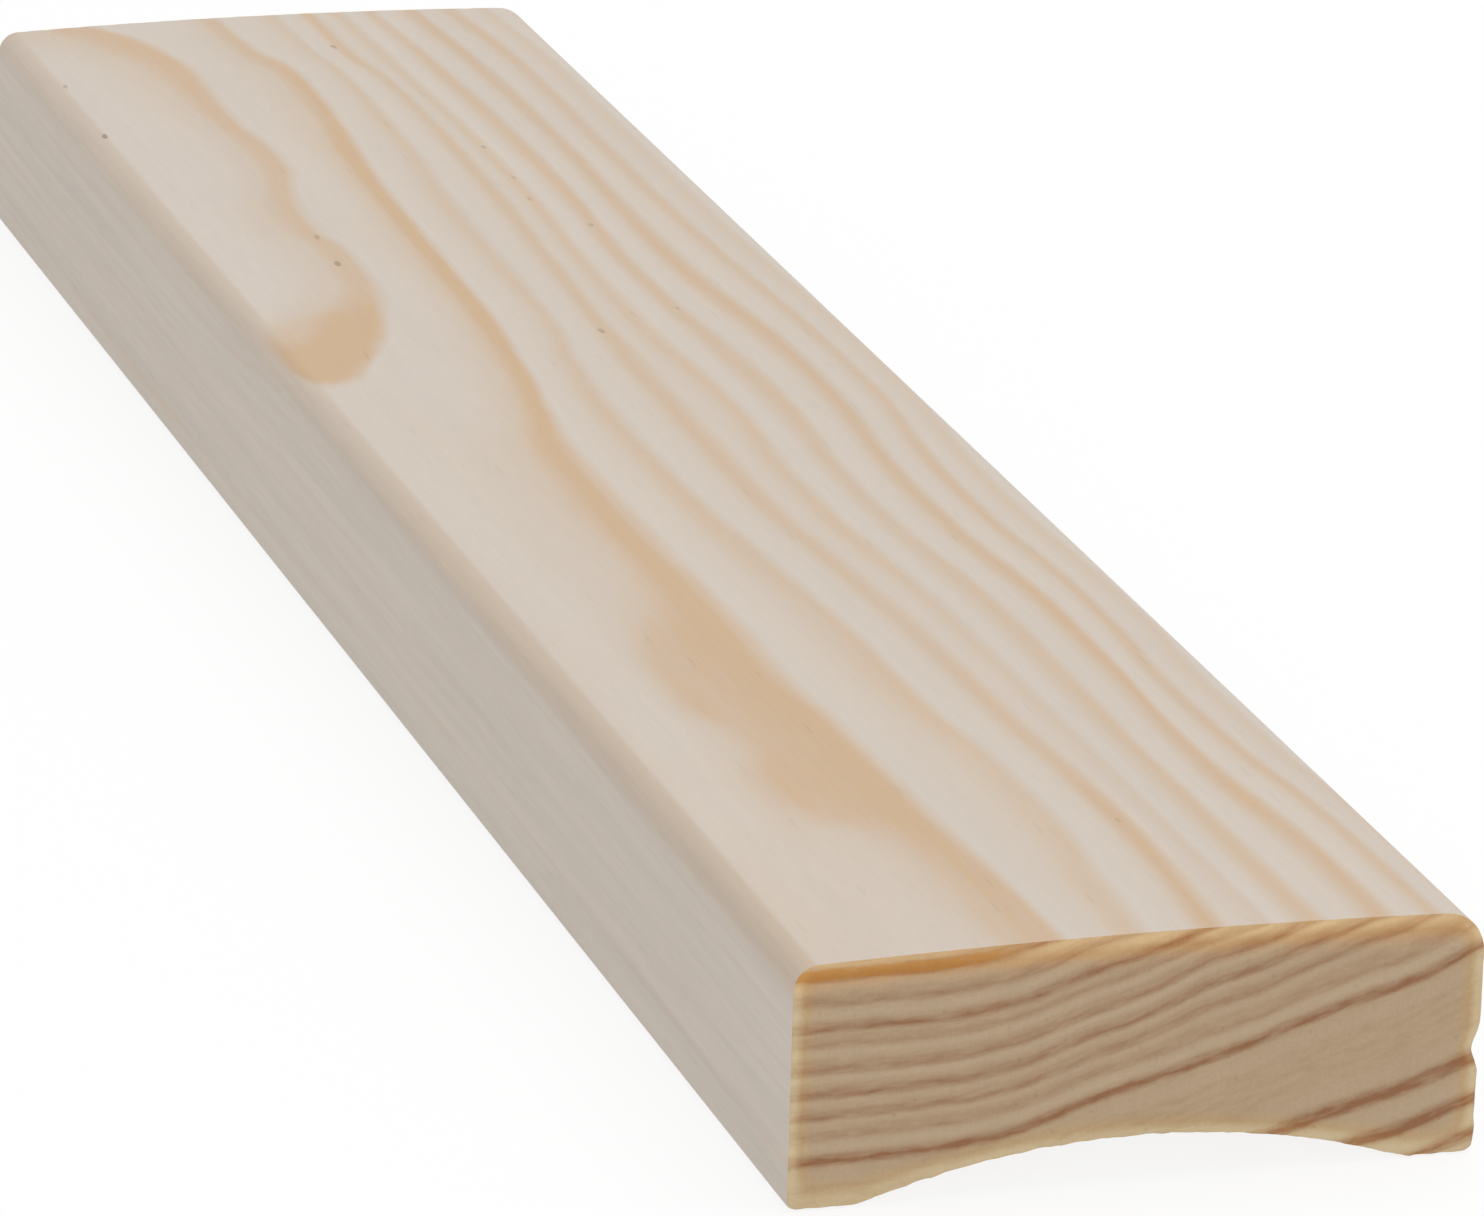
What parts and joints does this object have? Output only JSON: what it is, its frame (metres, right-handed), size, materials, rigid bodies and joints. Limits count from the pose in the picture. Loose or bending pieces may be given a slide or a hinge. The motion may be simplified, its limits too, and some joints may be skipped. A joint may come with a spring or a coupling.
{
  "type": "cover strip",
  "caption": "Short length of planed pine cover strip with a crowned face, rounded arrises and a hollowed back, nailed over the joint between two boards.",
  "frame": {"origin": "middle of the back, on the plane that the two feet stand on, halfway along the strip", "axes": "+Y along the strip, +Z out of the crowned face, +X across the strip towards the larger arris"},
  "size_m": [0.041, 0.2, 0.015],
  "materials": {
    "planed_pine": "planed, untreated pine; both ends sawn"
  },
  "bodies": {
    "root": {"cover_strip": "planed_pine"}
  },
  "joints": []
}
